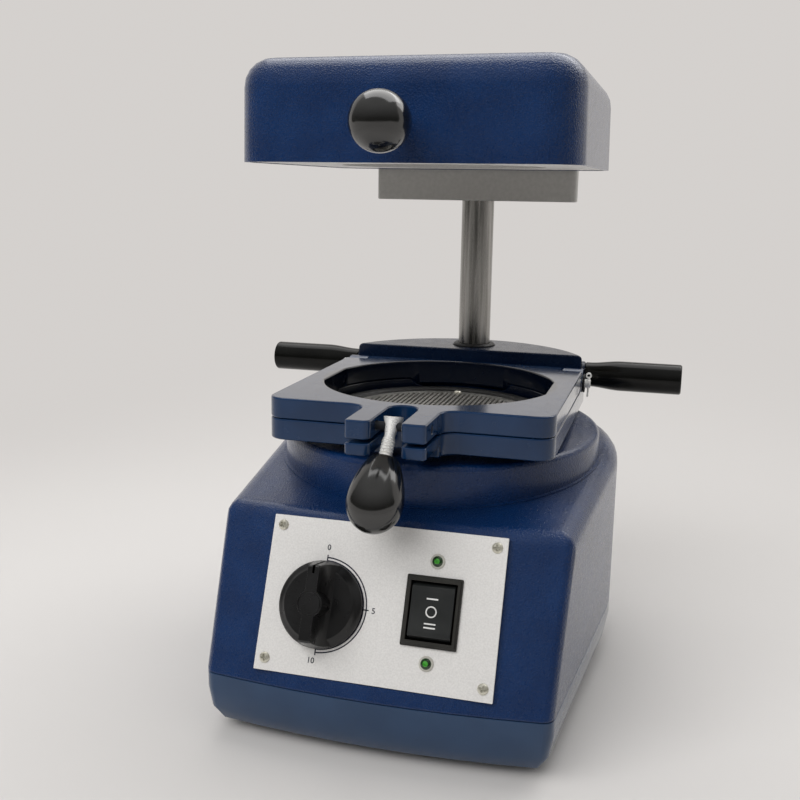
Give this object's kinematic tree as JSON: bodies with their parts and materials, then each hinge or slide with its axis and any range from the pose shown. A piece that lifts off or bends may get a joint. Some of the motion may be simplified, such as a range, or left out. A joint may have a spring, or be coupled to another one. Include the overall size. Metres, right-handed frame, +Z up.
{
  "type": "dental vacuum former",
  "caption": "Benchtop vacuum former: suction table in a sloped base, a hinged sheet frame on a post carriage and a swinging heater head.",
  "frame": {"origin": "on the floor under the middle of the bounding box", "axes": "+Z up, +X to the right and +Y to the rear as seen from the front"},
  "size_m": [0.2476, 0.2484, 0.3075],
  "materials": {
    "feet_rubber": "matt black",
    "tray_paint": "smooth satin blue",
    "grain_paint": "leather-grain dark blue",
    "frame_paint": "smooth semi-gloss blue",
    "carriage_paint": "semi-gloss dark blue",
    "panel_metal": "satin pale silver",
    "screw_steel": "bright",
    "inner_steel": "satin",
    "post_chrome": "greyish polished",
    "knob_plastic": "glossy black",
    "handle_plastic": "semi-gloss black",
    "trim_plastic": "satin black",
    "pale_plastic": "matt pale",
    "lamp_green": "translucent green",
    "table_aluminium": "satin",
    "seal_rubber": "black",
    "bracket_aluminium": "bare satin grey",
    "bush_brass": "turned",
    "ceramic": "matt off-white",
    "heater_steel": "oxidised dark",
    "pin_steel": "satin"
  },
  "bodies": {
    "base": {"lower_tray": "tray_paint", "rubber_feet": "feet_rubber", "case_screws": "screw_steel", "upper_housing": "grain_paint", "control_panel": "panel_metal", "panel_screws": "screw_steel", "timer_body": "inner_steel", "switch_housing": "trim_plastic", "lamp_bezels": "pale_plastic", "heating_lamp": "lamp_green", "vacuum_lamp": "lamp_green", "fan_housing": "inner_steel", "motor_body": "inner_steel", "motor_screws": "screw_steel", "suction_seal": "seal_rubber", "forming_table": "table_aluminium", "table_seal": "seal_rubber", "table_screws": "screw_steel", "power_inlet": "trim_plastic", "fuse_holder": "trim_plastic", "post": "post_chrome", "post_nut": "inner_steel", "stop_washer": "pale_plastic"},
    "timer": {"timer_knob": "trim_plastic", "timer_shaft": "inner_steel"},
    "rocker": {"rocker_button": "trim_plastic"},
    "fan": {"impeller": "pale_plastic", "motor_shaft": "pin_steel"},
    "carriage": {"carriage": "carriage_paint", "slide_bush": "bush_brass", "post_wiper": "seal_rubber", "left_handle": "handle_plastic", "right_handle": "handle_plastic", "handle_studs": "pin_steel", "lower_frame_plate": "frame_paint", "frame_screws": "screw_steel"},
    "upper_frame": {"upper_frame_plate": "frame_paint", "hinge_pins": "pin_steel", "hinge_washers": "seal_rubber", "split_pins": "screw_steel", "bolt_pivot_pin": "pin_steel"},
    "bolt": {"swing_bolt": "screw_steel"},
    "bolt_knob": {"clamp_knob": "knob_plastic", "knob_insert": "bush_brass"},
    "head": {"head_cover": "grain_paint", "head_plate": "panel_metal", "head_screws": "screw_steel", "reflector": "table_aluminium", "heater_ceramic": "ceramic", "heater_element": "heater_steel", "terminal_block": "ceramic", "head_bracket": "bracket_aluminium", "bracket_screws": "screw_steel", "friction_screw": "inner_steel", "head_knob": "knob_plastic", "head_knob_stud": "pin_steel"}
  },
  "joints": [
    {"name": "head_swing", "type": "hinge", "parent": "base", "child": "head", "pos_m": [0, 0.09767, 0.265], "axis": [0, 0, 1], "range_deg": [-120, 120]},
    {"name": "carriage_slide", "type": "slide", "parent": "base", "child": "carriage", "axis": [0, 0, 1], "range_m": [0, 0.075]},
    {"name": "frame_hinge", "type": "hinge", "parent": "carriage", "child": "upper_frame", "pos_m": [0, 0.06847, 0.1437], "axis": [-1, 0, 0], "range_deg": [0, 40]},
    {"name": "bolt_swing", "type": "hinge", "parent": "upper_frame", "child": "bolt", "pos_m": [0, -0.08333, 0.1474], "axis": [-1, 0, 0], "range_deg": [0, 100]},
    {"name": "knob_turn", "type": "hinge", "parent": "bolt", "child": "bolt_knob", "pos_m": [0, -0.1034, 0.12511], "axis": [0, -0.6691, -0.7431], "continuous": true},
    {"name": "timer_turn", "type": "hinge", "parent": "base", "child": "timer", "pos_m": [-0.0268, -0.10624, 0.06868], "axis": [0, 0.9135, -0.4067], "range_deg": [0, 180]},
    {"name": "rocker_tilt", "type": "hinge", "parent": "base", "child": "rocker", "pos_m": [0.0244, -0.09688, 0.06758], "axis": [1, 0, 0], "range_deg": [-9, 9]},
    {"name": "fan_spin", "type": "hinge", "parent": "base", "child": "fan", "pos_m": [0, 0.00667, 0.095], "axis": [0, 0, 1], "continuous": true}
  ]
}
